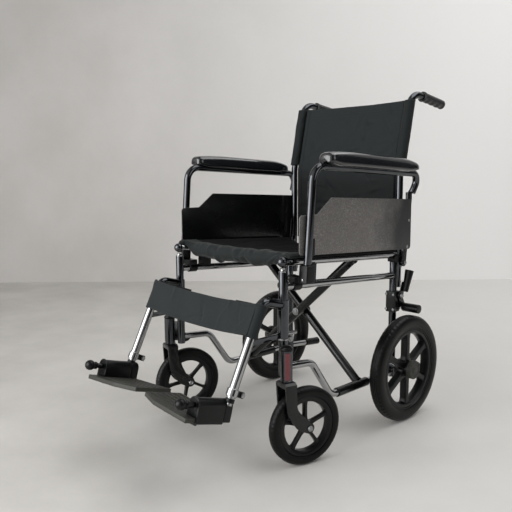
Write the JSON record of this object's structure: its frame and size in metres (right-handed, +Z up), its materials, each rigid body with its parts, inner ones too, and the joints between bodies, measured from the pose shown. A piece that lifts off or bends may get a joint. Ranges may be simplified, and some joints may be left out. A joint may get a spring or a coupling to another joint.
{
  "type": "folding wheelchair",
  "caption": "Folding transit wheelchair with a scissor brace, spoked rear wheels, swivel casters, flip-back armrests, push-to-lock brakes and swing-away legrests.",
  "frame": {"origin": "on the floor under the middle of the bounding box", "axes": "+X to the sitter's left, +Y to the back, +Z up"},
  "size_m": [0.5896, 1.0098, 0.9415],
  "materials": {
    "gunmetal": "polished",
    "chrome": "polished",
    "black_enamel": "satin",
    "steel": "satin",
    "black_plastic": "matte",
    "grey_plastic": "matte",
    "panel_plastic": "grained",
    "rubber": "matte",
    "tyre": "matte",
    "pad_vinyl": "satin",
    "slate_cloth": "woven",
    "black_cloth": "woven",
    "strap_cloth": "woven"
  },
  "bodies": {
    "left_side": {"side_frame_left": "gunmetal", "back_cane_left": "gunmetal", "hand_grip_left": "grey_plastic", "tipping_rubber_left": "rubber", "arm_socket_left": "black_plastic", "brake_clamp_left": "black_enamel", "rear_axle_left": "steel", "front_saddle_left": "black_plastic", "rear_saddle_left": "black_plastic", "seat_sling": "black_cloth", "back_sling": "slate_cloth", "calf_strap": "strap_cloth"},
    "rear_brace": {"rear_cross_brace": "black_enamel", "rail_cap_right": "gunmetal", "brace_bolt": "steel"},
    "front_brace": {"front_cross_brace": "black_enamel", "rail_cap_left": "gunmetal"},
    "right_side": {"side_frame_right": "gunmetal", "back_cane_right": "gunmetal", "hand_grip_right": "grey_plastic", "tipping_rubber_right": "rubber", "arm_socket_right": "black_plastic", "brake_clamp_right": "black_enamel", "rear_axle_right": "steel", "front_saddle_right": "black_plastic", "rear_saddle_right": "black_plastic"},
    "rear_wheel_left": {"rear_tyre_left": "tyre", "rear_rim_left": "black_plastic", "rear_hub_cap_left": "grey_plastic"},
    "caster_swivel_left": {"caster_fork_left": "black_enamel", "caster_axle_left": "steel"},
    "caster_wheel_left": {"caster_tyre_left": "tyre", "caster_rim_left": "black_plastic"},
    "armrest_left": {"arm_frame_left": "gunmetal", "skirt_panel_left": "panel_plastic", "arm_pad_left": "pad_vinyl"},
    "brake_handle_left": {"brake_lever_left": "black_plastic"},
    "brake_press_left": {"brake_shoe_left": "black_enamel"},
    "legrest_left": {"legrest_hanger_left": "chrome", "leg_clamp_left": "steel"},
    "leg_inner_left": {"leg_extension_left": "black_enamel", "rod_ball_left": "gunmetal"},
    "foot_left": {"footplate_left": "grey_plastic"},
    "rear_wheel_right": {"rear_tyre_right": "tyre", "rear_rim_right": "black_plastic", "rear_hub_cap_right": "grey_plastic"},
    "caster_swivel_right": {"caster_fork_right": "black_enamel", "caster_axle_right": "steel"},
    "caster_wheel_right": {"caster_tyre_right": "tyre", "caster_rim_right": "black_plastic"},
    "armrest_right": {"arm_frame_right": "gunmetal", "skirt_panel_right": "panel_plastic", "arm_pad_right": "pad_vinyl"},
    "brake_handle_right": {"brake_lever_right": "black_plastic"},
    "brake_press_right": {"brake_shoe_right": "black_enamel"},
    "legrest_right": {"legrest_hanger_right": "chrome", "leg_clamp_right": "steel"},
    "leg_inner_right": {"leg_extension_right": "black_enamel", "rod_ball_right": "gunmetal"},
    "foot_right": {"footplate_right": "grey_plastic"}
  },
  "joints": [
    {"name": "fold", "type": "hinge", "parent": "left_side", "child": "rear_brace", "pos_m": [0.2056, 0.11406, 0.126], "axis": [0, 1, 0], "range_deg": [0, 33], "deforming": ["seat_sling", "back_sling", "calf_strap"]},
    {"name": "brace_scissor", "type": "hinge", "parent": "rear_brace", "child": "front_brace", "pos_m": [0, 0.08706, 0.30549], "axis": [0, 1, 0], "range_deg": [-66, 0]},
    {"name": "right_side_hinge", "type": "hinge", "parent": "front_brace", "child": "right_side", "pos_m": [-0.2056, 0.08706, 0.126], "axis": [0, 1, 0], "range_deg": [0, 33]},
    {"name": "rear_wheel_spin_left", "type": "hinge", "parent": "left_side", "child": "rear_wheel_left", "pos_m": [0.259, 0.25856, 0.1525], "axis": [1, 0, 0], "continuous": true},
    {"name": "caster_swivel_left", "type": "hinge", "parent": "left_side", "child": "caster_swivel_left", "pos_m": [0.235, -0.20944, 0.2198], "axis": [0, 0, 1], "continuous": true},
    {"name": "caster_spin_left", "type": "hinge", "parent": "caster_swivel_left", "child": "caster_wheel_left", "pos_m": [0.24863, -0.15926, 0.0985], "axis": [0.965, -0.2622, 0], "continuous": true},
    {"name": "armrest_flip_left", "type": "hinge", "parent": "left_side", "child": "armrest_left", "pos_m": [0.2279, 0.28986, 0.452], "axis": [-1, 0, 0], "range_deg": [0, 95]},
    {"name": "brake_lever_left", "type": "hinge", "parent": "left_side", "child": "brake_handle_left", "pos_m": [0.2231, 0.27416, 0.3574], "axis": [1, 0, 0], "range_deg": [0, 60]},
    {"name": "brake_shoe_left", "type": "hinge", "parent": "left_side", "child": "brake_press_left", "pos_m": [0.2231, 0.27416, 0.3574], "axis": [1, 0, 0], "range_deg": [-18, 0]},
    {"name": "legrest_swing_left", "type": "hinge", "parent": "left_side", "child": "legrest_left", "pos_m": [0.2056, -0.19044, 0.316], "axis": [0, 0, 1], "range_deg": [0, 90], "deforming": ["calf_strap"]},
    {"name": "leg_slide_left", "type": "slide", "parent": "legrest_left", "child": "leg_inner_left", "axis": [0, -0.4446, -0.8957], "range_m": [0, 0.09]},
    {"name": "footplate_flip_left", "type": "hinge", "parent": "leg_inner_left", "child": "foot_left", "pos_m": [0.193, -0.49194, 0.2256], "axis": [0, 0.9613, -0.2756], "range_deg": [0, 100]},
    {"name": "rear_wheel_spin_right", "type": "hinge", "parent": "right_side", "child": "rear_wheel_right", "pos_m": [-0.259, 0.25856, 0.1525], "axis": [1, 0, 0], "continuous": true},
    {"name": "caster_swivel_right", "type": "hinge", "parent": "right_side", "child": "caster_swivel_right", "pos_m": [-0.235, -0.20944, 0.2198], "axis": [0, 0, 1], "continuous": true},
    {"name": "caster_spin_right", "type": "hinge", "parent": "caster_swivel_right", "child": "caster_wheel_right", "pos_m": [-0.22137, -0.15926, 0.0985], "axis": [0.965, -0.2622, 0], "continuous": true},
    {"name": "armrest_flip_right", "type": "hinge", "parent": "right_side", "child": "armrest_right", "pos_m": [-0.2279, 0.28986, 0.452], "axis": [-1, 0, 0], "range_deg": [0, 95]},
    {"name": "brake_lever_right", "type": "hinge", "parent": "right_side", "child": "brake_handle_right", "pos_m": [-0.2231, 0.27416, 0.3574], "axis": [1, 0, 0], "range_deg": [0, 60]},
    {"name": "brake_shoe_right", "type": "hinge", "parent": "right_side", "child": "brake_press_right", "pos_m": [-0.2231, 0.27416, 0.3574], "axis": [1, 0, 0], "range_deg": [-18, 0]},
    {"name": "legrest_swing_right", "type": "hinge", "parent": "right_side", "child": "legrest_right", "pos_m": [-0.2056, -0.19044, 0.316], "axis": [0, 0, -1], "range_deg": [0, 90], "deforming": ["calf_strap"]},
    {"name": "leg_slide_right", "type": "slide", "parent": "legrest_right", "child": "leg_inner_right", "axis": [0, -0.4446, -0.8957], "range_m": [0, 0.09]},
    {"name": "footplate_flip_right", "type": "hinge", "parent": "leg_inner_right", "child": "foot_right", "pos_m": [-0.193, -0.49194, 0.2256], "axis": [0, -0.9613, 0.2756], "range_deg": [0, 100]}
  ],
  "couplings": [
    {"joint": "brace_scissor", "follows": "fold", "ratio": -2},
    {"joint": "right_side_hinge", "follows": "fold", "ratio": 1},
    {"joint": "footplate_flip_left", "follows": "fold", "ratio": 3.0303},
    {"joint": "brake_shoe_left", "follows": "brake_lever_left", "ratio": -0.3},
    {"joint": "footplate_flip_right", "follows": "fold", "ratio": 3.0303},
    {"joint": "brake_shoe_right", "follows": "brake_lever_right", "ratio": -0.3}
  ]
}
